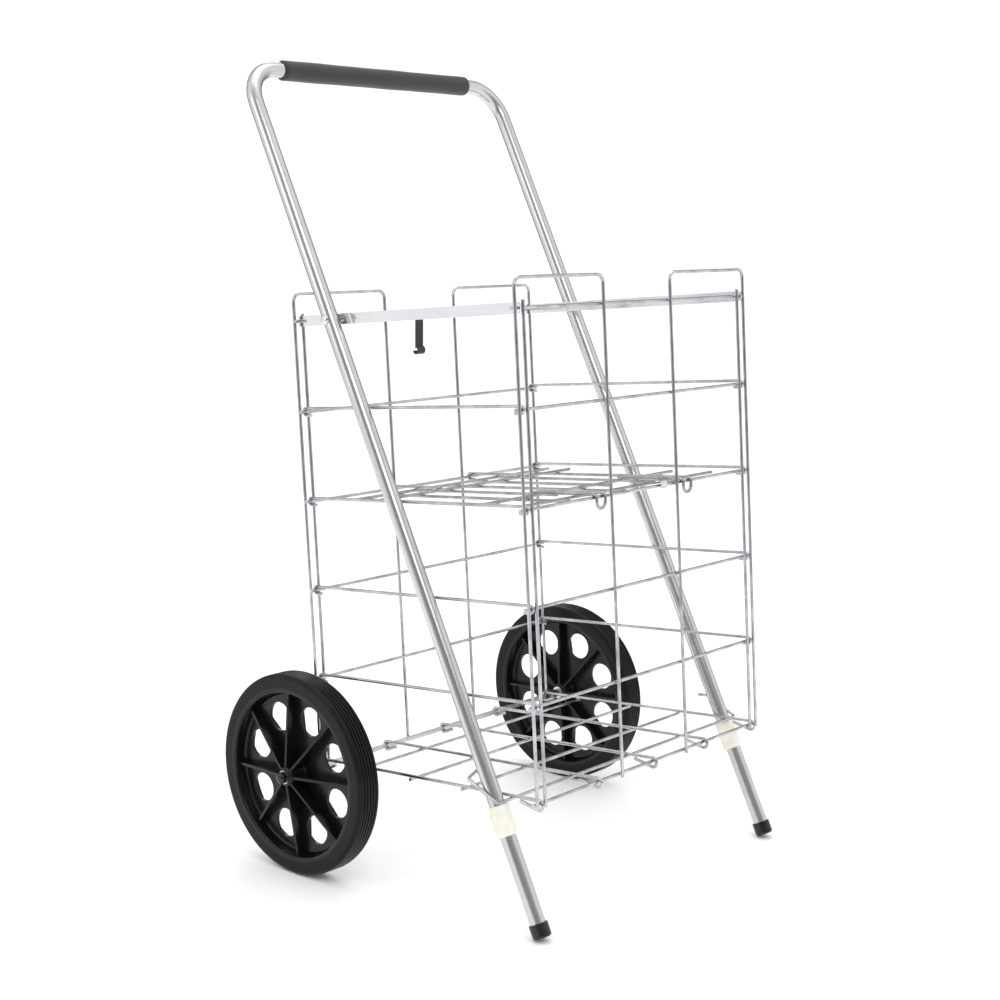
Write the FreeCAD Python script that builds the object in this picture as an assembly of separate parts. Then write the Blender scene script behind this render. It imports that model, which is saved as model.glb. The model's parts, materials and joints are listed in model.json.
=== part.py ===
import FreeCAD, Part
import math
import os
from FreeCAD import Vector

os.makedirs("parts", exist_ok=True)

# Folding rolling basket trolley, millimetres.
# Everything is drawn with the axle as the origin and both wire panels upright:
# X across the trolley, -Y to the front (feet), +Y to the back (handle), Z up.
# place() then leans the trolley back until wheels and feet stand on z = 0, and puts
# the origin in the middle of the ground it covers.

# ---- driving dimensions -------------------------------------------------------
WIRE = 2.0                 # radius of the basket wire
ROD = 3.5                  # radius of the axle rod
TUBE = 9.5                 # outer radius of the frame tube
TUBE_WALL = 1.2
PIN_PLAY = 0.08            # radial play of an eye on its wire
GAP = 0.4                  # clearance between neighbours that only pass each other
WELD = 0.2                 # depth that a resistance weld sinks one wire into another
PRESS = 0.05               # radial play of the plastic parts that are pressed on the tube
CUT = 1.0                  # how far a cutting shape runs past what it cuts
NEAR = 0.1                 # tolerance for finding an edge

WHEEL_R = 127.0            # ten-inch wheels
TYRE_W = 34.0
TYRE_PLAY = 0.1            # between the tyre and its seat on the rim
WHEEL_X = 261.0            # middle plane of a wheel
BACK_LEAN = 3.6            # degrees that the standing trolley leans back
AXLE_BACK = 125.1          # axle behind the middle of the footprint

DEPTH = 353.0              # between the hinge wires of the back and front panel
RISE = 5.0                 # front panel above the back panel
POST_X = 221.0             # outer posts of the panels
POST_PITCH = 13.5          # from an outer post to its inner partner
HOOP_X = 65.0              # inner legs of the hoops
LEVEL = 111.7              # height between neighbouring hinge wires
LEVELS = 5                 # hinge wires of a panel above its bottom
HOOP_RISE = 33.5           # hoop tops above the top hinge wire
HOOP_BEND = 10.0
POST_TIP = 9.0             # inner posts above the top hinge wire
WIRE_END = 3.0             # cross wires past the outer posts

BAR_T = 2.0
BAR_H = 13.0
RIVET_Y = 68.7             # frame rivet, along the top bar from its rear hinge
RIVET_R = 3.0
RIVET_TAIL_R = 5.0         # flat head inside the top bar
RIVET_TAIL_T = 1.5
RIVET_HEAD_R = 6.0         # domed head outside the tube
RIVET_DOME = 0.45          # height of the dome over its radius
RIVET_STANDOFF = 0.3
SPACER_R = 7.0

LEG_LEAN = 22.53           # degrees between the tube frame and the panels
LEG_X = 227.5
HANDLE_REACH = 337.5       # from the rivet up the tube to the handle
HANDLE_BEND = 48.0
GRIP_R = 13.0
GRIP_HALF = 169.0
GRIP_EDGE = 2.5
COLLAR_R = 12.6
COLLAR_L = 36.0
COLLAR_EDGE = 1.0
FOOT_R = 11.4
FOOT_H = 17.0
FOOT_EDGE = 3.0
FOOT_SOLE = 4.0

EYE_TURN = 180.0           # degrees that a side wire's eye wraps round its hinge
EYE_TAIL = 9.0
LOOP_TURN = 200.0          # the bottom shelf's eyes round the axle
LOOP_TAIL = 15.0
DROP_R = 5.8               # its long teardrop eyes at the front
DROP_TURN = 195.0
DROP_TAIL = 27.0

SHELF_WIRES = 5
SHELF_CROSS_Y = (62.0, 151.0, 236.0)
SHELF_OVER = 3.4           # cross wires past the centres of the outer long wires
GUIDE_AT = 310.0           # guide wire, along the shelf from the axle
GUIDE_BEND = 5.0
HOOK_REAR_Y = 268.0        # rear end of the guide hooks
HOOK_RISE = 23.0

MID_X = 53.0               # pitch of the middle shelf's long wires
MID_WIRES = 7
MID_CROSS_Y = (50.0, 88.0, 262.0, 325.0)
MID_HALF = 184.0
MID_REAR = 20.0            # rear ends of the long wires
MID_OVER = 6.0             # rods, hooks and clip past the cross wire that holds them
MID_HINGE_X = 78.0
MID_HOOK_X = 85.5
MID_HOOK_W = 16.0          # between the two strands of a hairpin hook
MID_HOOK_DROP = 13.0
MID_HOOK_BEND = 4.5
CLIP_X = 37.0
CLIP_W = 12.0
CLIP_T = 1.0
CLIP_R = 4.4               # inside of the arch over the hinge wire
CLIP_DROP = 3.0

STRAP_X = -6.0
STRAP_W = 12.5
STRAP_T = 2.6
STRAP_L = 42.0
STRAP_PLAY = 0.2
HOOK_R = 5.6
HOOK_SINK = 1.5            # how far the hook's ring reaches up into the strap

SEAT_R = 110.0             # tyre seat on the rim
RIM_R = 104.0              # inside of the rim band
WEB_T = 4.0
HUB_R = 12.0
HUB_INNER = 18.0           # hub ends from the middle plane, basket side and outer side
HUB_OUTER = 25.0
DRAFT = 3.0                # the walls of a pocket slant by this much
POCKET_BEND = 3.5          # rounding of the lips and roots of a pocket
SPOKES = 8
HOLE_R = 18.3
HOLE_AT = 74.0
RIB_T = 3.2
RIB_END = 11.0             # half width of a rib where it meets the rim
RIB_DROP = 2.0             # ribs below the ends of the hub
GROOVES = 5
GROOVE_W = 1.8
GROOVE_D = 1.6
GROOVE_PITCH = 4.6
SHOULDER = 6.0

WASHER_T = 1.2
WASHER_R = 8.5
SLEEVE_WALL = 2.0
CAP_R = 7.2
CAP_DOME = 0.55            # height of the dome over its radius
CAP_GAP = 0.3              # end play between hub, washer and cap
CAP_SEAT = 4.0             # length of axle inside the cap
CAP_WALL = 0.5

# ---- derived dimensions -------------------------------------------------------
SIDE_X = POST_X - POST_PITCH / 2          # plane of the side wires and top bars
SLOPE = math.degrees(math.atan2(RISE, DEPTH))
SPAN = math.hypot(DEPTH, RISE)            # hinge to hinge along a link
TOP = LEVEL * LEVELS
MID_LEVEL = LEVEL * 3
EYE = WIRE + PIN_PLAY + WIRE              # bend radius of an eye round a hinge wire
AXLE_EYE = ROD + PIN_PLAY + WIRE
CROSS_DROP = 2 * WIRE - WELD              # cross wires lie this far under long wires
HUB_IN = WHEEL_X - HUB_INNER
HUB_OUT = WHEEL_X + HUB_OUTER
LEG_DIR = Vector(0, math.sin(math.radians(LEG_LEAN)), math.cos(math.radians(LEG_LEAN)))
ACROSS = Vector(1, 0, 0)


def link_point(x, along, up, level):
    """Point on a link: distance along it from the rear hinge, height above its hinge line."""
    a = math.radians(SLOPE)
    return Vector(x, up * math.sin(a) - along * math.cos(a),
                  level + along * math.sin(a) + up * math.cos(a))


RIVET = link_point(0, RIVET_Y, 0, TOP)


def leg_point(side, down):
    """Centre of a leg tube, measured down the tube from the rivet."""
    return Vector(side * LEG_X, 0, 0) + RIVET - LEG_DIR * down


# ---- shape helpers ------------------------------------------------------------
def place(shape):
    """Lean a shape back about the axle and move it to its place above the ground."""
    done = shape.copy()
    done.rotate(Vector(0, 0, 0), Vector(1, 0, 0), -BACK_LEAN)
    done.translate(Vector(0, AXLE_BACK, WHEEL_R))
    return done


def save(name, *shapes):
    solids = [place(s) for s in shapes]
    body = solids[0] if len(solids) == 1 else Part.makeCompound(solids)
    body.exportStep("parts/" + name + ".step")


def rod(start, end, radius):
    way = end - start
    return Part.makeCylinder(radius, way.Length, start, way)


def ring(centre, axis, outer, inner, length):
    """Tube section centred on a point."""
    start = centre - axis * (length / 2)
    return Part.makeCylinder(outer, length, start, axis).cut(
        Part.makeCylinder(inner, length, start, axis))


def sweep(edges, radius):
    """Round bar along a chain of edges."""
    path = Part.Wire(edges)
    first = path.Edges[0]
    start = first.valueAt(first.FirstParameter)
    way = first.tangentAt(first.FirstParameter)
    profile = Part.Wire([Part.makeCircle(radius, start, way)])
    return Part.Solid(path.makePipeShell([profile], True, False))


def rounded(points, bend):
    """Edges through the points, with every inner corner rounded to the bend radius."""
    edges = []
    here = points[0]
    for before, corner, after in zip(points, points[1:], points[2:]):
        arrive = (corner - before).normalize()
        leave = (after - corner).normalize()
        half = arrive.getAngle(leave) / 2
        trim = bend * math.tan(half)
        first = corner - arrive * trim
        last = corner + leave * trim
        inward = (leave - arrive).normalize()
        middle = corner + inward * (bend / math.cos(half) - bend)
        edges.append(Part.makeLine(here, first))
        edges.append(Part.Arc(first, middle, last).toShape())
        here = last
    edges.append(Part.makeLine(here, points[-1]))
    return edges


def bent(points, bend, radius):
    return sweep(rounded(points, bend), radius)


def link_wire(x, level, rear, front):
    """Wire over the two hinges of a link. Each end has an eye: the height of the wire over
    the hinge, the radius of the eye, the degrees that it turns and the length of its tail."""
    def spot(along, up):
        return link_point(x, along, up, level)

    def eye(along, side, shape):
        """Arc under the hinge and its tail; side is -1 at the rear and 1 at the front."""
        height, radius, turn, tail = shape

        def at(angle):
            a = math.radians(angle)
            return (along + side * radius * math.sin(a), height - radius + radius * math.cos(a))

        arc = Part.Arc(spot(*at(0)), spot(*at(turn / 2)), spot(*at(turn))).toShape()
        a = math.radians(turn)
        out, up = at(turn)
        tip = spot(out + side * tail * math.cos(a), up - tail * math.sin(a))
        return [arc, Part.makeLine(spot(*at(turn)), tip)]

    rear_eye = eye(0, -1, rear)
    front_eye = eye(SPAN, 1, front)
    middle = Part.makeLine(spot(0, rear[0]), spot(SPAN, front[0]))
    return sweep([rear_eye[1], rear_eye[0], middle, front_eye[0], front_eye[1]], WIRE)


def flat_dome(radius, flatness, x):
    """Half of a flattened ball that bulges along X from the given place."""
    corner = Vector(0, -radius, -radius)
    half = Part.makeSphere(radius).common(
        Part.makeBox(radius, 2 * radius, 2 * radius, corner))
    squash = FreeCAD.Matrix()
    squash.A11 = flatness
    half = half.transformGeometry(squash)
    half.translate(Vector(x, 0, 0))
    return half


def mirrored(make):
    return [make(-1), make(1)]


# ---- wire panels --------------------------------------------------------------
def hoop(side, y, bottom, top):
    """Inverted U: outer post, rounded shoulder, inner leg."""
    outer, inner = side * POST_X, side * HOOP_X
    return bent([Vector(outer, y, bottom), Vector(outer, y, top + HOOP_RISE),
                 Vector(inner, y, top + HOOP_RISE), Vector(inner, y, bottom)],
                HOOP_BEND, WIRE)


def cross_wire(y, z):
    end = POST_X + WIRE_END
    return rod(Vector(-end, y, z), Vector(end, y, z), WIRE)


def panel(name, y, outward, base, bottom, first_level):
    """Hoops, inner posts and hinge wires of one panel; the uprights lie outside the wires."""
    upright = y + outward * (2 * WIRE - WELD)
    top = base + TOP
    save(name + "_hoops", *mirrored(lambda side: hoop(side, upright, bottom, top)))
    partner = POST_X - POST_PITCH
    save(name + "_inner_posts", *mirrored(
        lambda side: rod(Vector(side * partner, upright, bottom),
                         Vector(side * partner, upright, top + POST_TIP), WIRE)))
    save(name + "_cross_wires",
         *[cross_wire(y, base + LEVEL * n) for n in range(first_level, LEVELS + 1)])


axle_seat = math.sqrt(ROD ** 2 - (WIRE - WELD) ** 2) - WELD
panel("back", 0, 1, 0, axle_seat, 1)
panel("front", -DEPTH, -1, RISE, RISE - 2 * WIRE, 0)


# ---- axle and its small parts --------------------------------------------------
cap_start = HUB_OUT + 2 * CAP_GAP + WASHER_T
axle_end = cap_start + CAP_SEAT

save("axle", rod(Vector(-axle_end, 0, 0), Vector(axle_end, 0, 0), ROD))


def washer(x):
    return ring(Vector(x, 0, 0), ACROSS, WASHER_R, ROD + PIN_PLAY, WASHER_T)


inner_washer = HUB_IN - CAP_GAP - WASHER_T / 2
outer_washer = HUB_OUT + CAP_GAP + WASHER_T / 2
save("axle_washers", washer(-inner_washer), washer(inner_washer),
     washer(-outer_washer), washer(outer_washer))


def crimp(side):
    """Sleeve pinched on the axle that keeps the wheel off the side posts."""
    inner = POST_X + WIRE_END + GAP
    outer = HUB_IN - 2 * CAP_GAP - WASHER_T
    middle = Vector(side * (inner + outer) / 2, 0, 0)
    return ring(middle, ACROSS, ROD + SLEEVE_WALL, ROD, outer - inner)


save("axle_sleeves", *mirrored(crimp))


def push_cap(side):
    """Domed push-on cap over the end of the axle."""
    skirt = CAP_SEAT + CAP_WALL
    body = Part.makeCylinder(CAP_R, skirt, Vector(0, 0, 0), ACROSS)
    dome = flat_dome(CAP_R, CAP_DOME, skirt)
    cap = body.fuse(dome).cut(Part.makeCylinder(ROD, CAP_SEAT, Vector(0, 0, 0), ACROSS))
    if side < 0:
        cap.rotate(Vector(0, 0, 0), Vector(0, 0, 1), 180)
    cap.translate(Vector(side * cap_start, 0, 0))
    return cap


save("axle_caps", *mirrored(push_cap))

# ---- wheels -------------------------------------------------------------------
def tyre(middle):
    half = TYRE_W / 2
    low = SEAT_R + TYRE_PLAY
    crown = WHEEL_R
    sides = [Vector(middle - half, 0, low), Vector(middle + half, 0, low)]
    turn = SHOULDER * (1 - math.cos(math.pi / 4))
    left_low = Vector(middle - half, 0, crown - SHOULDER)
    left_mid = Vector(middle - half + turn, 0, crown - turn)
    left_top = Vector(middle - half + SHOULDER, 0, crown)
    right_top = Vector(middle + half - SHOULDER, 0, crown)
    right_mid = Vector(middle + half - turn, 0, crown - turn)
    right_low = Vector(middle + half, 0, crown - SHOULDER)
    outline = [Part.makeLine(sides[1], sides[0]), Part.makeLine(sides[0], left_low),
               Part.Arc(left_low, left_mid, left_top).toShape(),
               Part.makeLine(left_top, right_top),
               Part.Arc(right_top, right_mid, right_low).toShape(),
               Part.makeLine(right_low, sides[1])]
    body = Part.Face(Part.Wire(outline)).revolve(Vector(0, 0, 0), ACROSS, 360)
    for n in range(GROOVES):
        x = (n - (GROOVES - 1) / 2) * GROOVE_PITCH
        body = body.cut(ring(Vector(middle + x, 0, 0), ACROSS, crown + CUT,
                             crown - GROOVE_D, GROOVE_W))
    return body


def pocket(hub_end, face):
    """Half of the wheel's section, from the bore out along one face to the tyre seat."""
    return rounded([Vector(hub_end, 0, ROD + PIN_PLAY), Vector(hub_end, 0, HUB_R),
                    Vector(face * WEB_T / 2, 0, HUB_R + DRAFT),
                    Vector(face * WEB_T / 2, 0, RIM_R - DRAFT),
                    Vector(face * TYRE_W / 2, 0, RIM_R),
                    Vector(face * TYRE_W / 2, 0, SEAT_R)], POCKET_BEND)


def wheel_body(side):
    """Rim band, drilled web, hub and ribs on both faces, as one moulding."""
    outer, inner = pocket(HUB_OUTER, 1), pocket(-HUB_INNER, -1)
    ends = [[edges[k].valueAt(p) for k, p in ((0, edges[0].FirstParameter),
                                             (-1, edges[-1].LastParameter))]
            for edges in (outer, inner)]
    section = Part.Wire(Part.__sortEdges__(
        outer + inner + [Part.makeLine(ends[0][0], ends[1][0]),
                         Part.makeLine(ends[0][1], ends[1][1])]))
    solid = Part.Face(section).revolve(Vector(0, 0, 0), ACROSS, 360)
    for n in range(SPOKES):
        angle = 2 * math.pi * (n + 0.5) / SPOKES
        hole = Vector(-WEB_T, HOLE_AT * math.sin(angle), HOLE_AT * math.cos(angle))
        solid = solid.cut(Part.makeCylinder(HOLE_R, 2 * WEB_T, hole, ACROSS))
    root, tip = HUB_R - CUT, RIM_R + CUT
    rib_face = Part.Face(Part.makePolygon([
        Vector(RIB_DROP - HUB_INNER, 0, root), Vector(-RIB_END, 0, tip),
        Vector(RIB_END, 0, tip), Vector(HUB_OUTER - RIB_DROP, 0, root),
        Vector(RIB_DROP - HUB_INNER, 0, root)]))
    ribs = []
    for n in range(SPOKES):
        rib = rib_face.extrude(Vector(0, RIB_T, 0))
        rib.translate(Vector(0, -RIB_T / 2, 0))
        rib.rotate(Vector(0, 0, 0), ACROSS, 360 * n / SPOKES)
        ribs.append(rib)
    solid = solid.fuse(ribs).removeSplitter()
    if side < 0:
        solid.rotate(Vector(0, 0, 0), Vector(0, 0, 1), 180)
    solid.translate(ACROSS * (side * WHEEL_X))
    return solid


for side, word in ((-1, "left"), (1, "right")):
    save("wheel_" + word, wheel_body(side))
    save("tyre_" + word, tyre(side * WHEEL_X))

# ---- bottom shelf -------------------------------------------------------------
def shelf_height(along):
    """Height of the long wires above the shelf's hinge line."""
    return AXLE_EYE + (EYE - AXLE_EYE) * along / SPAN


def shelf_cross(x_end, along):
    drop = shelf_height(along) - CROSS_DROP
    return rod(link_point(-x_end, along, drop, 0), link_point(x_end, along, drop, 0), WIRE)


save("shelf_long_wires", *[
    link_wire(-SIDE_X + 2 * SIDE_X * n / (SHELF_WIRES - 1), 0,
              (AXLE_EYE, AXLE_EYE, LOOP_TURN, LOOP_TAIL), (EYE, DROP_R, DROP_TURN, DROP_TAIL))
    for n in range(SHELF_WIRES)])
save("shelf_cross_wires", *[shelf_cross(SIDE_X + SHELF_OVER, y) for y in SHELF_CROSS_Y])

# The guide wire passes in front of both legs and hooks back along their outer sides.
guide_drop = shelf_height(GUIDE_AT) - CROSS_DROP
guide_level = link_point(0, GUIDE_AT, guide_drop, 0).z
leg_at_guide = leg_point(1, (RIVET.z - guide_level) / LEG_DIR.z)
guide_y = leg_at_guide.y - (TUBE + WIRE + GAP) / LEG_DIR.z
hook_x = LEG_X + TUBE + WIRE + GAP


def guide_wire():
    front = Vector(0, guide_y, guide_level)
    rear = Vector(0, -HOOK_REAR_Y, guide_level + HOOK_RISE)
    left, right = Vector(-hook_x, 0, 0), Vector(hook_x, 0, 0)
    return bent([left + rear, left + front, right + front, right + rear],
                GUIDE_BEND, WIRE)


save("shelf_guide_wire", guide_wire())

# ---- side wires and top bars ---------------------------------------------------
for side, word in ((-1, "left"), (1, "right")):
    for n in range(1, LEVELS):
        save("side_wire_" + word + "_" + str(n),
             link_wire(side * SIDE_X, LEVEL * n, (EYE, EYE, EYE_TURN, EYE_TAIL),
                       (EYE, EYE, EYE_TURN, EYE_TAIL)))


def top_bar(side):
    """Flat strip with round ends, drilled for both hinge wires and the frame rivet."""
    x = side * SIDE_X - BAR_T / 2
    half = BAR_H / 2
    rear = link_point(x, 0, 0, TOP)
    front = link_point(x, SPAN, 0, TOP)
    outline = [link_point(x, 0, half, TOP), link_point(x, SPAN, half, TOP),
               link_point(x, SPAN, -half, TOP), link_point(x, 0, -half, TOP)]
    edges = [Part.makeLine(outline[0], outline[1]),
             Part.Arc(outline[1], link_point(x, SPAN + half, 0, TOP), outline[2]).toShape(),
             Part.makeLine(outline[2], outline[3]),
             Part.Arc(outline[3], link_point(x, -half, 0, TOP), outline[0]).toShape()]
    bar = Part.Face(Part.Wire(edges)).extrude(ACROSS * BAR_T)
    for centre, radius in ((rear, WIRE + PIN_PLAY), (front, WIRE + PIN_PLAY),
                           (Vector(x, RIVET.y, RIVET.z), RIVET_R)):
        start = centre - ACROSS * CUT
        bar = bar.cut(Part.makeCylinder(radius, BAR_T + 2 * CUT, start, ACROSS))
    return bar


def rivet(side):
    """Rivet from the inside of the top bar through the tube, with a domed outer head."""
    start = SIDE_X - BAR_T / 2 - RIVET_TAIL_T
    end = LEG_X + TUBE + RIVET_STANDOFF
    shank = Part.makeCylinder(RIVET_R, end - start, Vector(start, 0, 0), ACROSS)
    tail = Part.makeCylinder(RIVET_TAIL_R, RIVET_TAIL_T, Vector(start, 0, 0), ACROSS)
    dome = flat_dome(RIVET_HEAD_R, RIVET_DOME, end)
    body = shank.fuse([tail, dome])
    if side < 0:
        body.rotate(Vector(0, 0, 0), Vector(0, 0, 1), 180)
    body.translate(Vector(0, RIVET.y, RIVET.z))
    return body


def spacer(side):
    """Washer that fills the gap between top bar and tube."""
    start = SIDE_X + BAR_T / 2
    end = LEG_X - TUBE
    middle = Vector(side * (start + end) / 2, RIVET.y, RIVET.z)
    return ring(middle, ACROSS, SPACER_R, RIVET_R + PIN_PLAY, end - start - 2 * CAP_GAP)


for side, word in ((-1, "left"), (1, "right")):
    save("top_bar_" + word, top_bar(side))
    save("frame_rivet_" + word, rivet(side))
    save("frame_spacer_" + word, spacer(side))

# ---- tube frame ----------------------------------------------------------------
# The foot is as long as it needs to be for its lowest edge to stand on the ground.
world_lean = math.radians(LEG_LEAN + BACK_LEAN)
sole_drop = ((FOOT_R - FOOT_EDGE) * math.sin(world_lean) + FOOT_EDGE
             - FOOT_EDGE * math.cos(world_lean))
back_lean = math.radians(BACK_LEAN)
leaned_rivet = RIVET.z * math.cos(back_lean) - RIVET.y * math.sin(back_lean)
foot_end = (leaned_rivet + WHEEL_R - sole_drop) / math.cos(world_lean)
tube_end = foot_end - FOOT_SOLE


def frame_path():
    top_left = leg_point(-1, -HANDLE_REACH)
    top_right = leg_point(1, -HANDLE_REACH)
    return [leg_point(-1, tube_end), top_left, top_right, leg_point(1, tube_end)]


def tube_frame():
    outside = bent(frame_path(), HANDLE_BEND, TUBE)
    inside = bent(frame_path(), HANDLE_BEND, TUBE - TUBE_WALL)
    frame = outside.cut(inside)
    for side in (-1, 1):
        start = Vector(side * LEG_X - TUBE - CUT, RIVET.y, RIVET.z)
        frame = frame.cut(
            Part.makeCylinder(RIVET_R + PIN_PLAY, 2 * (TUBE + CUT), start, ACROSS))
    return frame


save("handle_frame", tube_frame())


def round_sleeve(centre, axis, radius, length, edge):
    """Sleeve on the tube, with its outer edges rounded."""
    sleeve = ring(centre, axis, radius, TUBE + PRESS, length)
    rims = [e for e in sleeve.Edges if abs(e.Length - 2 * math.pi * radius) < NEAR]
    return sleeve.makeFillet(edge, rims)


def grip():
    """Foam sleeve with rounded ends on the handle."""
    centre = RIVET + LEG_DIR * HANDLE_REACH
    return round_sleeve(centre, ACROSS, GRIP_R, 2 * GRIP_HALF, GRIP_EDGE)


save("handle_grip", grip())

# The collars stop the guide hooks: their tops lie just under the guide wire.
collar_top = (RIVET - Vector(0, guide_y, guide_level)).dot(LEG_DIR) + WIRE + CAP_GAP


def collar(side):
    middle = leg_point(side, collar_top + COLLAR_L / 2)
    return round_sleeve(middle, LEG_DIR, COLLAR_R, COLLAR_L, COLLAR_EDGE)


def foot(side):
    """Plastic cap with a closed, rounded sole over the end of a leg."""
    sole = leg_point(side, foot_end)
    cap = Part.makeCylinder(FOOT_R, FOOT_H, sole, LEG_DIR)
    rim = [e for e in cap.Edges if (e.CenterOfMass - sole).Length < NEAR]
    cap = cap.makeFillet(FOOT_EDGE, rim)
    bore = leg_point(side, tube_end)
    return cap.cut(Part.makeCylinder(TUBE + PRESS, FOOT_H, bore, LEG_DIR))


for side, word in ((-1, "left"), (1, "right")):
    save("leg_collar_" + word, collar(side))
    save("foot_cap_" + word, foot(side))

# ---- middle shelf ---------------------------------------------------------------
# Hinge rods and hooks pass over the hinge wires, the cross wires lie under them, and
# the long wires lie under the cross wires.
mid_rod = EYE
mid_cross_up = mid_rod - CROSS_DROP
mid_long_up = mid_cross_up - CROSS_DROP
hook_front = SPAN + 2 * WIRE + GAP


def mid_point(x, along, up):
    return link_point(x, along, up, MID_LEVEL)


def mid_long(n):
    """Every second wire runs on to the foremost cross wire."""
    x = (n - (MID_WIRES - 1) / 2) * MID_X
    front = MID_CROSS_Y[2 + n % 2] + WIRE
    return rod(mid_point(x, MID_REAR, mid_long_up), mid_point(x, front, mid_long_up), WIRE)


def mid_cross(along):
    return rod(mid_point(-MID_HALF, along, mid_cross_up),
               mid_point(MID_HALF, along, mid_cross_up), WIRE)


def mid_hinge(side):
    """Rod with an eye on the back panel's hinge wire."""
    x = side * MID_HINGE_X
    top = mid_point(x, 0, EYE)
    bottom = mid_point(x, 0, -EYE)
    turn = Part.Arc(top, mid_point(x, -EYE, 0), bottom).toShape()
    return sweep([Part.makeLine(mid_point(x, MID_CROSS_Y[1] + MID_OVER, EYE), top), turn,
                  Part.makeLine(bottom, mid_point(x, EYE_TAIL, -EYE))], WIRE)


def mid_hook(side):
    """Hairpin that reaches over the front hinge wire and turns down in front of it."""
    left = side * MID_HOOK_X - MID_HOOK_W / 2
    right = left + MID_HOOK_W
    rear = MID_CROSS_Y[2] - MID_OVER
    low = MID_HOOK_W / 2 - MID_HOOK_DROP

    def strand(x):
        return rounded([mid_point(x, rear, mid_rod), mid_point(x, hook_front, mid_rod),
                        mid_point(x, hook_front, low)], MID_HOOK_BEND)

    turn = Part.Arc(mid_point(left, hook_front, low),
                    mid_point(side * MID_HOOK_X, hook_front, -MID_HOOK_DROP),
                    mid_point(right, hook_front, low)).toShape()
    return sweep(strand(left) + [turn] + strand(right)[::-1], WIRE)


def mid_clip():
    """Sheet clip: a tongue over the foremost cross wire and an arch over the hinge wire."""
    over = mid_cross_up + WIRE
    outer = CLIP_R + CLIP_T
    x = CLIP_X - CLIP_W / 2

    def spot(along, up):
        return mid_point(x, SPAN + along, up)

    def arch(radius, reach):
        """Arc from the front leg over the wire and back to where it meets the tongue."""
        mid = math.radians(reach / 2)
        end = math.radians(reach)
        return Part.Arc(spot(radius, over),
                        spot(radius * math.cos(mid), over + radius * math.sin(mid)),
                        spot(radius * math.cos(end), over + radius * math.sin(end))).toShape()

    reach = 180 - math.degrees(math.asin(CLIP_T / outer))
    joint = -math.sqrt(outer ** 2 - CLIP_T ** 2)
    rear = MID_CROSS_Y[3] - MID_OVER - SPAN
    corners = [spot(joint, over + CLIP_T), spot(rear, over + CLIP_T), spot(rear, over),
               spot(-CLIP_R, over)]
    feet = [spot(CLIP_R, over), spot(CLIP_R, -CLIP_DROP), spot(outer, -CLIP_DROP),
            spot(outer, over)]
    edges = [Part.makeLine(a, b) for chain in (corners, feet) for a, b in zip(chain, chain[1:])]
    outline = Part.Wire(Part.__sortEdges__(edges + [arch(outer, reach), arch(CLIP_R, 180)]))
    return Part.Face(outline).extrude(ACROSS * CLIP_W)


save("mid_shelf_long_wires", *[mid_long(n) for n in range(MID_WIRES)])
save("mid_shelf_cross_wires", *[mid_cross(y) for y in MID_CROSS_Y])
save("mid_shelf_hinge_rods", *mirrored(mid_hinge))
save("mid_shelf_hooks", *mirrored(mid_hook))
save("mid_shelf_clip", mid_clip())

# ---- strap hook -----------------------------------------------------------------
def strap_hook():
    """Moulded strap with an eye on the top hinge wire and a hook open to the back."""
    loop = WIRE + STRAP_PLAY
    axis = Vector(STRAP_X - STRAP_W / 2, 0, 0)
    eye = Part.makeCylinder(loop + STRAP_T, STRAP_W, axis, ACROSS)
    strap = Part.makeBox(STRAP_W, STRAP_T, STRAP_L, axis + Vector(0, -STRAP_T / 2, -STRAP_L))
    curl = axis + Vector(0, 0, HOOK_SINK - STRAP_L - HOOK_R)
    hook = Part.makeCylinder(HOOK_R, STRAP_W, curl, ACROSS)
    hook = hook.cut(Part.makeCylinder(HOOK_R - STRAP_T, STRAP_W, curl, ACROSS))
    mouth = Part.makeBox(STRAP_W, 2 * HOOK_R, 2 * HOOK_R,
                         curl + Vector(0, STRAP_T / 2, -HOOK_R / 6))
    solid = eye.fuse([strap, hook.cut(mouth)]).removeSplitter()
    return solid.cut(Part.makeCylinder(loop, STRAP_W, axis, ACROSS)).Solids[0]


def hung(shape):
    """Turn a shape on the X axis until it hangs plumb on the leaning trolley."""
    balance = shape.CenterOfMass
    swing = math.degrees(math.atan2(balance.y, -balance.z))
    shape.rotate(Vector(0, 0, 0), ACROSS, BACK_LEAN - swing)
    shape.translate(Vector(0, 0, TOP))
    return shape


save("strap_hook", hung(strap_hook()))
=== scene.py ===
import json
import math
import bmesh
import bpy
from mathutils import Matrix, Vector


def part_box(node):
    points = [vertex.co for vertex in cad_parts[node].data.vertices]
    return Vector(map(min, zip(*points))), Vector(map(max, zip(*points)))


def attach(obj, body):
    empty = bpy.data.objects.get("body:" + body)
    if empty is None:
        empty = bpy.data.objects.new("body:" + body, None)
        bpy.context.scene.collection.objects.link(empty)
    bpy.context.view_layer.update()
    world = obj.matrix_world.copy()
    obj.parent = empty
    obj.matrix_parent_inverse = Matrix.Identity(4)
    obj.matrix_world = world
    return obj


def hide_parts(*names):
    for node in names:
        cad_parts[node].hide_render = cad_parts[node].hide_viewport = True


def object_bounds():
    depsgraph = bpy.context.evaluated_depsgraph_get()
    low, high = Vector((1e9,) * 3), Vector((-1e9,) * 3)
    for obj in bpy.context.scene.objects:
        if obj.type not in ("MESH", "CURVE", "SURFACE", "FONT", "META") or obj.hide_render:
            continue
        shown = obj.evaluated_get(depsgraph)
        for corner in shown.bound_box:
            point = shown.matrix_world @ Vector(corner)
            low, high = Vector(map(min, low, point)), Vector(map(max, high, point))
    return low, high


MM = 0.001

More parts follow.
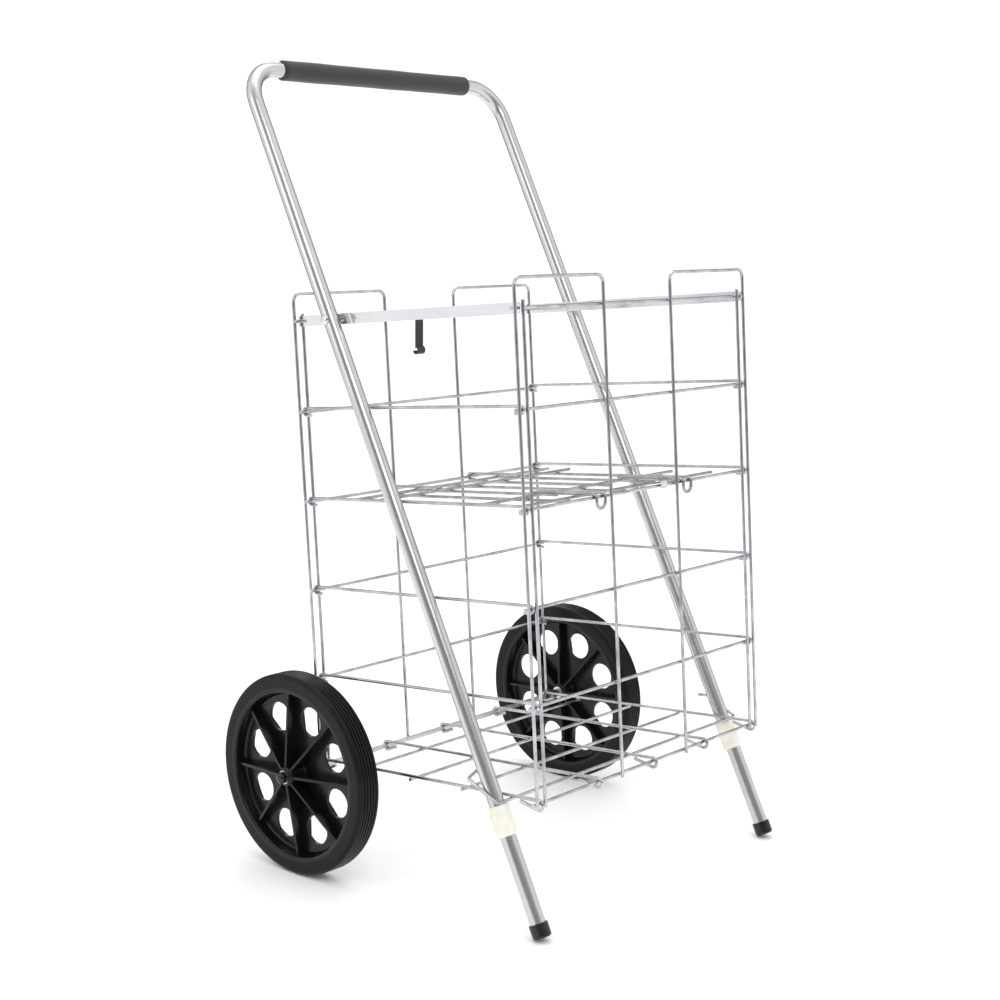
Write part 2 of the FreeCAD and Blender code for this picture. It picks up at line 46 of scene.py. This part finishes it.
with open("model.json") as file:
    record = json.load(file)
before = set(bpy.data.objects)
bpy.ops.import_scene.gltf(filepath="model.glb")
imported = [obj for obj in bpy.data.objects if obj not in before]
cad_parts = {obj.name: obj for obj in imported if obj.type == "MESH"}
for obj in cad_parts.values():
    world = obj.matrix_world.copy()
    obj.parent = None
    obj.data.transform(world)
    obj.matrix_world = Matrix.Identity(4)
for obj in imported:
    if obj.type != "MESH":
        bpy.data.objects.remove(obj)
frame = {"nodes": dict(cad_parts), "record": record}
cad_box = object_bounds()
nodes = frame["nodes"]


# ---- node helpers -------------------------------------------------------------
def new_material(name):
    """Empty Principled material; returns the material, its nodes, its links and the shader."""
    mat = bpy.data.materials.new(name)
    mat.use_nodes = True
    tree = mat.node_tree
    tree.nodes.clear()
    out = tree.nodes.new("ShaderNodeOutputMaterial")
    shader = tree.nodes.new("ShaderNodeBsdfPrincipled")
    tree.links.new(shader.outputs["BSDF"], out.inputs["Surface"])
    return mat, tree, shader


def place_coords(tree, scale=(1, 1, 1), turn=(0, 0, 0)):
    """Object coordinates in metres, turned and then scaled."""
    coords = tree.nodes.new("ShaderNodeTexCoord")
    mapping = tree.nodes.new("ShaderNodeMapping")
    mapping.vector_type = "TEXTURE"
    mapping.inputs["Rotation"].default_value = turn
    mapping.inputs["Scale"].default_value = [1 / s for s in scale]
    tree.links.new(coords.outputs["Object"], mapping.inputs["Vector"])
    return mapping.outputs["Vector"]


def noise(tree, vector, scale, detail=3.0, rough=0.55):
    node = tree.nodes.new("ShaderNodeTexNoise")
    node.inputs["Scale"].default_value = scale
    node.inputs["Detail"].default_value = detail
    node.inputs["Roughness"].default_value = rough
    tree.links.new(vector, node.inputs["Vector"])
    return node.outputs["Fac"]


def cells(tree, vector, scale, feature="F1"):
    node = tree.nodes.new("ShaderNodeTexVoronoi")
    node.feature = feature
    node.inputs["Scale"].default_value = scale
    tree.links.new(vector, node.inputs["Vector"])
    return node.outputs["Distance"]


def span(tree, value, low, high, start=0.0, end=1.0):
    """Maps start..end of a value to low..high."""
    node = tree.nodes.new("ShaderNodeMapRange")
    node.inputs["From Min"].default_value = start
    node.inputs["From Max"].default_value = end
    node.inputs["To Min"].default_value = low
    node.inputs["To Max"].default_value = high
    tree.links.new(value, node.inputs["Value"])
    return node.outputs["Result"]


def blend_colors(tree, factor, first, second):
    node = tree.nodes.new("ShaderNodeMix")
    node.data_type = "RGBA"
    node.inputs[6].default_value = (*first, 1)
    node.inputs[7].default_value = (*second, 1)
    tree.links.new(factor, node.inputs["Factor"])
    return node.outputs[2]


def math_node(tree, operation, first, second):
    node = tree.nodes.new("ShaderNodeMath")
    node.operation = operation
    for socket, value in zip(node.inputs, (first, second)):
        if isinstance(value, (int, float)):
            socket.default_value = value
        else:
            tree.links.new(value, socket)
    return node.outputs[0]


def bump(tree, shader, height, distance, strength=1.0):
    """distance is the real height of the relief in metres."""
    node = tree.nodes.new("ShaderNodeBump")
    node.inputs["Strength"].default_value = strength
    node.inputs["Distance"].default_value = distance
    tree.links.new(height, node.inputs["Height"])
    tree.links.new(node.outputs["Normal"], shader.inputs["Normal"])


def link(tree, value, shader, socket):
    tree.links.new(value, shader.inputs[socket])


# ---- materials ----------------------------------------------------------------
def plated(name, bright, dull, low, high):
    """Zinc plate on steel: cloudy, with a few darker flecks and a soft orange peel."""
    mat, tree, shader = new_material(name)
    spot = place_coords(tree)
    clouds = noise(tree, spot, 45.0, 3.0)
    flecks = noise(tree, spot, 420.0, 3.0, 0.6)
    mixed = math_node(tree, "ADD", math_node(tree, "MULTIPLY", clouds, 0.75),
                      math_node(tree, "MULTIPLY", flecks, 0.25))
    link(tree, blend_colors(tree, span(tree, mixed, 0, 1, 0.36, 0.60), dull, bright),
         shader, "Base Color")
    link(tree, span(tree, mixed, high, low, 0.34, 0.62), shader, "Roughness")
    shader.inputs["Metallic"].default_value = 1.0
    bump(tree, shader, clouds, 0.05 * MM, 0.25)
    return mat


def brushed(name, bright, dull, low, high, turn, scale):
    """Metal with a drawn grain: noise stretched along the part."""
    mat, tree, shader = new_material(name)
    lines = noise(tree, place_coords(tree, scale, turn), 1.0, 3.0, 0.5)
    clouds = noise(tree, place_coords(tree), 18.0, 3.0)
    mixed = math_node(tree, "ADD", math_node(tree, "MULTIPLY", lines, 0.45),
                      math_node(tree, "MULTIPLY", clouds, 0.55))
    link(tree, blend_colors(tree, span(tree, mixed, 0, 1, 0.34, 0.64), dull, bright),
         shader, "Base Color")
    link(tree, span(tree, mixed, high, low, 0.34, 0.66), shader, "Roughness")
    shader.inputs["Metallic"].default_value = 1.0
    bump(tree, shader, lines, 0.01 * MM, 0.1)
    return mat


def moulded(name, dark, light, low, high, grain, relief, gloss=0.4):
    """Black moulded plastic: fine spark-eroded grain, faint flow marks and dust."""
    mat, tree, shader = new_material(name)
    spot = place_coords(tree)
    flow = noise(tree, spot, 21.0, 5.0, 0.6)
    fine = noise(tree, spot, grain, 3.0, 0.6)
    link(tree, blend_colors(tree, span(tree, flow, 0, 1, 0.35, 0.7), dark, light),
         shader, "Base Color")
    link(tree, span(tree, math_node(tree, "ADD", math_node(tree, "MULTIPLY", flow, 0.5),
                                    math_node(tree, "MULTIPLY", fine, 0.5)),
                    low, high, 0.35, 0.65), shader, "Roughness")
    shader.inputs["Specular IOR Level"].default_value = gloss
    bump(tree, shader, fine, relief, 0.4)
    return mat


def foam(name):
    """Closed-cell foam: tiny pores, soft sheen, slightly paler where hands rub it."""
    mat, tree, shader = new_material(name)
    spot = place_coords(tree)
    pores = cells(tree, spot, 900.0)
    wear = noise(tree, spot, 16.0, 4.0)
    fine = noise(tree, spot, 420.0, 4.0, 0.7)
    shade = math_node(tree, "ADD", math_node(tree, "MULTIPLY", wear, 0.6),
                      math_node(tree, "MULTIPLY", fine, 0.4))
    link(tree, blend_colors(tree, span(tree, shade, 0, 1, 0.35, 0.66), (0.010, 0.012, 0.014),
                            (0.021, 0.024, 0.027)), shader, "Base Color")
    link(tree, span(tree, shade, 0.40, 0.56, 0.35, 0.65), shader, "Roughness")
    shader.inputs["Sheen Weight"].default_value = 0.08
    shader.inputs["Sheen Roughness"].default_value = 0.5
    relief = math_node(tree, "ADD", span(tree, pores, 0, 1, 0.1, 0.6),
                       math_node(tree, "MULTIPLY", fine, 0.6))
    bump(tree, shader, relief, 0.12 * MM, 0.5)
    shader.inputs["Specular IOR Level"].default_value = 0.5
    return mat


def nylon(name):
    """Unfilled nylon: milky and a little see-through, with a polished skin."""
    mat, tree, shader = new_material(name)
    spot = place_coords(tree)
    milk = noise(tree, spot, 60.0, 4.0)
    fine = noise(tree, spot, 500.0, 3.0)
    link(tree, blend_colors(tree, span(tree, milk, 0, 1, 0.35, 0.65), (0.70, 0.67, 0.58),
                            (0.80, 0.79, 0.73)), shader, "Base Color")
    link(tree, span(tree, fine, 0.26, 0.42, 0.35, 0.65), shader, "Roughness")
    shader.inputs["Subsurface Weight"].default_value = 0.35
    shader.inputs["Subsurface Radius"].default_value = (0.004, 0.0035, 0.0025)
    shader.inputs["Subsurface Scale"].default_value = 1.0
    bump(tree, shader, fine, 0.03 * MM, 0.5)
    return mat


LEG_LEAN = math.radians(26.13)     # the drawn grain of the tube runs along the legs
wire = plated("zinc_wire", (0.54, 0.55, 0.57), (0.33, 0.335, 0.35), 0.14, 0.26)
shelf_wire = plated("zinc_shelf_wire", (0.46, 0.46, 0.465), (0.28, 0.28, 0.285), 0.16, 0.3)
small_parts = plated("zinc_small_parts", (0.58, 0.58, 0.57), (0.36, 0.36, 0.37), 0.22, 0.38)
rivet_metal = plated("rivet_metal", (0.78, 0.78, 0.78), (0.58, 0.58, 0.59), 0.12, 0.22)
axle_metal = brushed("axle_metal", (0.66, 0.66, 0.66), (0.42, 0.42, 0.44), 0.2, 0.36,
                     (0, 0, 0), (20, 900, 900))
tube_metal = brushed("tube_metal", (0.62, 0.62, 0.62), (0.53, 0.53, 0.54), 0.2, 0.28,
                     (-LEG_LEAN, 0, 0), (700, 700, 5))
bar_metal = brushed("bar_metal", (0.74, 0.75, 0.78), (0.66, 0.67, 0.71), 0.12, 0.18,
                    (0, 0, 0), (700, 5, 700))
clip_metal = brushed("clip_metal", (0.78, 0.78, 0.79), (0.60, 0.60, 0.61), 0.10, 0.18,
                     (0, 0, 0), (700, 20, 700))
wheel_plastic = moulded("wheel_plastic", (0.0028, 0.0028, 0.003), (0.006, 0.006, 0.0062),
                        0.20, 0.32, 1500.0, 0.03 * MM, 0.28)
tyre_plastic = moulded("tyre_plastic", (0.0035, 0.0035, 0.0037), (0.008, 0.008, 0.008),
                       0.30, 0.42, 1100.0, 0.03 * MM, 0.16)
cap_plastic = moulded("cap_plastic", (0.004, 0.004, 0.004), (0.007, 0.007, 0.007),
                      0.08, 0.16, 1500.0, 0.02 * MM, 0.5)
foot_plastic = moulded("foot_plastic", (0.006, 0.006, 0.007), (0.013, 0.013, 0.014),
                       0.16, 0.28, 900.0, 0.03 * MM)
strap_plastic = moulded("strap_plastic", (0.010, 0.010, 0.010), (0.020, 0.020, 0.020),
                        0.24, 0.36, 800.0, 0.05 * MM)
grip_foam = foam("grip_foam")
collar_nylon = nylon("collar_nylon")

SLOT_MATERIALS = {
    "basket_wire": wire, "shelf_wire": shelf_wire, "axle_steel": axle_metal,
    "zinc_small_parts": small_parts, "rivet_steel": rivet_metal, "bar_steel": bar_metal,
    "clip_steel": clip_metal, "tube_satin": tube_metal, "grip_foam": grip_foam,
    "collar_plastic": collar_nylon, "foot_plastic": foot_plastic,
    "strap_plastic": strap_plastic, "cap_plastic": cap_plastic,
    "wheel_plastic": wheel_plastic, "tyre_rubber": tyre_plastic}

for part in frame["record"]["subparts"]:
    node = nodes[part["node"]]
    node.data.materials.clear()
    node.data.materials.append(SLOT_MATERIALS[part["material_slot"]])


# ---- mesh helpers ---------------------------------------------------------------
AXLE = (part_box("axle")[0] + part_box("axle")[1]) / 2
BACK_LEAN = math.radians(3.6)
WIRE = 2.0 * MM
CHAMFER = 0.25             # of the cut end of a wire, over its radius
UPRIGHT = Matrix.Translation(AXLE) @ Matrix.Rotation(-BACK_LEAN, 4, "X")


def new_object(name, bm, material, body):
    mesh = bpy.data.meshes.new(name)
    bmesh.ops.recalc_face_normals(bm, faces=bm.faces)
    bm.to_mesh(mesh)
    bm.free()
    mesh.materials.append(material)
    for face in mesh.polygons:
        face.use_smooth = True
    piece = bpy.data.objects.new(name, mesh)
    bpy.context.scene.collection.objects.link(piece)
    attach(piece, body)
    return piece


def round_path(points, bend, steps=8):
    """Points of a polyline whose inner corners are arcs of the bend radius."""
    path = [points[0]]
    for before, corner, after in zip(points, points[1:], points[2:]):
        arrive = (corner - before).normalized()
        leave = (after - corner).normalized()
        half = arrive.angle(leave) / 2
        inward = (leave - arrive).normalized()
        centre = corner + inward * (bend / math.cos(half))
        turn_axis = arrive.cross(leave).normalized()
        first = corner - arrive * bend * math.tan(half) - centre
        for k in range(steps + 1):
            spin = Matrix.Rotation(2 * half * k / steps, 3, turn_axis)
            path.append(centre + spin @ first)
    path.append(points[-1])
    return path


def add_tube(bm, path, radius, sides=20):
    """Round bar along a path, with slightly chamfered cut ends."""
    chamfer = radius * CHAMFER
    first = (path[1] - path[0]).normalized()
    last = (path[-1] - path[-2]).normalized()
    stations = [(path[0], first, radius - chamfer), (path[0] + first * chamfer, first, radius)]
    for before, here, after in zip(path, path[1:], path[2:]):
        along = ((here - before).normalized() + (after - here).normalized()).normalized()
        stations.append((here, along, radius))
    stations += [(path[-1] - last * chamfer, last, radius), (path[-1], last, radius - chamfer)]
    side = first.orthogonal().normalized()
    rings = []
    for centre, along, r in stations:
        side = (side - along * side.dot(along)).normalized()
        other = along.cross(side)
        angles = [2 * math.pi * k / sides for k in range(sides)]
        rings.append([bm.verts.new(centre + side * r * math.cos(a) + other * r * math.sin(a))
                      for a in angles])
    for low, high in zip(rings, rings[1:]):
        for k in range(sides):
            n = (k + 1) % sides
            bm.faces.new((low[k], low[n], high[n], high[k]))
    bm.faces.new(rings[0][::-1])
    bm.faces.new(rings[-1])


def add_lathe(bm, profile, frame_matrix, sides=96):
    """Closed surface of revolution about local Z from (radius, height) points."""
    rings = []
    for radius, height in profile:
        rings.append([bm.verts.new(frame_matrix @ Vector((
            radius * math.cos(2 * math.pi * k / sides),
            radius * math.sin(2 * math.pi * k / sides), height))) for k in range(sides)])
    for low, high in zip(rings, rings[1:] + rings[:1]):
        for k in range(sides):
            n = (k + 1) % sides
            bm.faces.new((low[k], low[n], high[n], high[k]))


# ---- guide wire -----------------------------------------------------------------
GUIDE_BEND = 5.0 * MM
GUIDE_BACK = 43.5 * MM     # the hooks run this far back along the legs
GUIDE_UP = 23.0 * MM
TIP_BACK = 2.0 * MM
TIP_UP = 5.0 * MM
TIP_IN = 18.0 * MM         # and then turn in behind them


def guide_wire():
    """The shelf's guide wire, whose ends turn in behind the legs. They clear the legs at both
    ends of the fold, but not all the way between them."""
    low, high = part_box("shelf_guide_wire")
    half = high.x - WIRE
    start = UPRIGHT.inverted() @ Vector((0, low.y + WIRE, low.z + WIRE))

    def corner(x, back, up):
        return UPRIGHT @ Vector((x, start.y + back, start.z + up))

    points = [corner(-half + TIP_IN, GUIDE_BACK + TIP_BACK, GUIDE_UP + TIP_UP),
              corner(-half, GUIDE_BACK, GUIDE_UP), corner(-half, 0, 0), corner(half, 0, 0),
              corner(half, GUIDE_BACK, GUIDE_UP),
              corner(half - TIP_IN, GUIDE_BACK + TIP_BACK, GUIDE_UP + TIP_UP)]
    bm = bmesh.new()
    add_tube(bm, round_path(points, GUIDE_BEND), WIRE)
    piece = new_object("guide_wire_formed", bm, wire, "bottom_shelf")
    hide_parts("shelf_guide_wire")


# ---- weld nuggets ---------------------------------------------------------------
WELD_WIDE = 2.7 * MM
WELD_DEEP = 1.5 * MM
CROSSING = 1.9 * MM        # from a wire's centre to where it touches its neighbour


def wires_of(node):
    """Lowest and highest corner of each separate wire of a node, with the panels upright."""
    bm = bmesh.new()
    bm.from_mesh(nodes[node].data)
    bm.transform(UPRIGHT.inverted())
    bmesh.ops.remove_doubles(bm, verts=bm.verts, dist=0.001 * MM)
    unseen = set(bm.verts)
    boxes = []
    while unseen:
        group, front = set(), [unseen.pop()]
        while front:
            vert = front.pop()
            group.add(vert)
            near = {edge.other_vert(vert) for edge in vert.link_edges} & unseen
            unseen -= near
            front.extend(near)
        low = Vector([min(v.co[i] for v in group) for i in range(3)])
        high = Vector([max(v.co[i] for v in group) for i in range(3)])
        boxes.append((low, high))
    bm.free()
    return sorted(boxes, key=lambda box: tuple(box[0] + box[1]))


def legs_of(node):
    """Places across the trolley of a node's uprights or strands: both sides of a bent wire."""
    found = []
    for low, high in wires_of(node):
        if high.x - low.x < 3 * WIRE:
            found.append(((low.x + high.x) / 2, low, high))
        else:
            found += [(low.x + WIRE, low, high), (high.x - WIRE, low, high)]
    return found


def crossings(across, along, touch):
    """Where the wires that run across meet the others; touch is the way to the neighbour."""
    spots = []
    for low, high in wires_of(across):
        middle = (low + high) / 2
        for x, near, far in [leg for node in along for leg in legs_of(node)]:
            inside = all(near[i] - WIRE < middle[i] < far[i] + WIRE or touch[i] for i in (1, 2))
            if inside and low.x < x < high.x:
                spots.append(Vector((x, middle.y, middle.z)) + touch * CROSSING)
    return spots


def add_nugget(bm, spot, touch):
    """Small flattened bead where two wires are resistance welded."""
    deep = [WELD_DEEP if touch[i] else WELD_WIDE for i in range(3)]
    shape = UPRIGHT @ Matrix.Translation(spot) @ Matrix.Diagonal((*deep, 1))
    bmesh.ops.create_icosphere(bm, subdivisions=2, radius=1, matrix=shape)


def welds(name, body, material, slot, *groups):
    bm = bmesh.new()
    for across, along, touch in groups:
        for spot in crossings(across, along, touch):
            add_nugget(bm, spot, touch)
    new_object(name, bm, material, body)


# ---- foam grip ------------------------------------------------------------------
GRIP_BORE = 9.6 * MM
GRIP_NOSE = 4.5 * MM       # length of the rounded ends
GRIP_INSET = 0.25 * MM
GRIP_SWELL = 0.22 * MM     # unevenness of the surface, from two waves along the sleeve
GRIP_WAVES = (71, 23)
GRIP_ROUNDING = 0.8        # share of the foam's thickness that the ends round off
GRIP_STEPS = 120


def grip_sleeve():
    """Foam sleeve with rounded ends, not quite even along its length."""
    low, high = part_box("handle_grip")
    centre = (low + high) / 2
    outer = (high.z - low.z) / 2 - GRIP_INSET
    half = (high.x - low.x) / 2
    profile = []
    for k in range(GRIP_STEPS + 1):
        x = half * (2 * k / GRIP_STEPS - 1)
        inset = max(0.0, GRIP_NOSE - (half - abs(x))) / GRIP_NOSE
        rounding = (outer - GRIP_BORE) * GRIP_ROUNDING * (1 - math.sqrt(1 - inset ** 2))
        swell = GRIP_SWELL * math.sin(x * GRIP_WAVES[0]) * math.sin(x * GRIP_WAVES[1] + 1)
        profile.append((outer - rounding + swell, x))
    profile += [(GRIP_BORE, half * way) for way in (1, 0.5, 0, -0.5, -1)]
    bm = bmesh.new()
    add_lathe(bm, profile, Matrix.Translation(centre) @ Matrix.Rotation(math.pi / 2, 4, "Y"))
    piece = new_object("grip_foam_sleeve", bm, grip_foam, "tube_frame")
    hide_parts("handle_grip")


BACKWARD, FORWARD = Vector((0, 1, 0)), Vector((0, -1, 0))
UPWARD, DOWNWARD = Vector((0, 0, 1)), Vector((0, 0, -1))

guide_wire()
grip_sleeve()
welds("back_panel_welds", "back_frame", wire, "basket_wire",
      ("back_cross_wires", ("back_hoops", "back_inner_posts"), BACKWARD))
welds("front_panel_welds", "front_panel", wire, "basket_wire",
      ("front_cross_wires", ("front_hoops", "front_inner_posts"), FORWARD))
welds("bottom_shelf_welds", "bottom_shelf", wire, "basket_wire",
      ("shelf_cross_wires", ("shelf_long_wires",), UPWARD))
welds("middle_shelf_welds", "middle_shelf", shelf_wire, "shelf_wire",
      ("mid_shelf_cross_wires", ("mid_shelf_long_wires",), DOWNWARD),
      ("mid_shelf_cross_wires", ("mid_shelf_hooks", "mid_shelf_hinge_rods"), UPWARD))

# ---- floor, light and camera ----------------------------------------------------
FLOOR_SIZE = 6.0
FLOOR_GAP = 0.5 * MM
DIM_END = (-0.72, -0.69, 0.0)      # way to the dim end of the room in front of the trolley
DIM_LEVEL = 0.25
ROOM_LEVEL = 1.12
CAMERA_FROM_AXLE = (-1.64896, -1.56997, 0.79980)   # its height is above the floor
CAMERA_DOWN = math.radians(8.98)
CAMERA_TURN = math.radians(-48.328)
LENS = 62.35
SENSOR = 36.0


def area_light(name, place, target, size, power):
    lamp = bpy.data.lights.new(name, "AREA")
    lamp.shape = "RECTANGLE"
    lamp.size, lamp.size_y = size
    lamp.energy = power
    holder = bpy.data.objects.new(name, lamp)
    bpy.context.scene.collection.objects.link(holder)
    holder.location = place
    aim = Vector(target) - Vector(place)
    holder.rotation_euler = aim.to_track_quat("-Z", "Y").to_euler()


def floor():
    half = FLOOR_SIZE / 2
    mesh = bpy.data.meshes.new("floor")
    mesh.from_pydata([(-half, -half, 0), (half, -half, 0), (half, half, 0), (-half, half, 0)],
                     [], [(0, 1, 2, 3)])
    ground = bpy.data.objects.new("floor", mesh)
    bpy.context.scene.collection.objects.link(ground)
    ground.location.z = cad_box[0].z - FLOOR_GAP
    mat, tree, shader = new_material("floor_paint")
    clouds = noise(tree, place_coords(tree), 1.5, 2.0)
    link(tree, blend_colors(tree, clouds, (0.95, 0.95, 0.95), (0.97, 0.97, 0.97)),
         shader, "Base Color")
    shader.inputs["Roughness"].default_value = 0.7
    mesh.materials.append(mat)


def sky():
    """White room. Shiny parts also mirror its two dim ends, in front and behind."""
    world = bpy.data.worlds.new("studio")
    bpy.context.scene.world = world
    world.use_nodes = True
    tree = world.node_tree
    back = tree.nodes["Background"]
    coords = tree.nodes.new("ShaderNodeTexCoord")
    facing = tree.nodes.new("ShaderNodeVectorMath")
    facing.operation = "DOT_PRODUCT"
    facing.inputs[1].default_value = DIM_END
    tree.links.new(coords.outputs["Generated"], facing.inputs[0])
    either_end = math_node(tree, "ABSOLUTE", facing.outputs["Value"], 0)
    room = span(tree, either_end, 1.0, DIM_LEVEL, 0.25, 0.85)
    path = tree.nodes.new("ShaderNodeLightPath")
    seen = tree.nodes.new("ShaderNodeMix")
    seen.inputs[2].default_value = 1.0
    tree.links.new(path.outputs["Is Glossy Ray"], seen.inputs["Factor"])
    tree.links.new(room, seen.inputs[3])
    tree.links.new(seen.outputs[0], back.inputs["Color"])
    back.inputs["Strength"].default_value = ROOM_LEVEL


def camera():
    data = bpy.data.cameras.new("camera")
    data.sensor_width = SENSOR
    data.lens = LENS
    data.clip_start = 0.05
    holder = bpy.data.objects.new("camera", data)
    bpy.context.scene.collection.objects.link(holder)
    x, y, z = CAMERA_FROM_AXLE
    holder.location = (x, y + AXLE.y, z)
    holder.rotation_euler = (math.pi / 2 - CAMERA_DOWN, 0, CAMERA_TURN)
    bpy.context.scene.camera = holder


floor()
sky()
area_light("key", (-1.6, -2.2, 2.6), (0, 0, 0.45), (1.6, 1.6), 20)
area_light("fill", (-2.6, 0.8, 1.6), (0, 0, 0.5), (1.2, 1.6), 8)
area_light("top", (0.3, 0.2, 3.0), (0, 0, 0.4), (2.2, 2.2), 14)
area_light("rim", (1.8, 2.0, 1.8), (0, 0, 0.5), (1.0, 1.8), 10)
camera()
bpy.context.scene.view_settings.view_transform = "Standard"
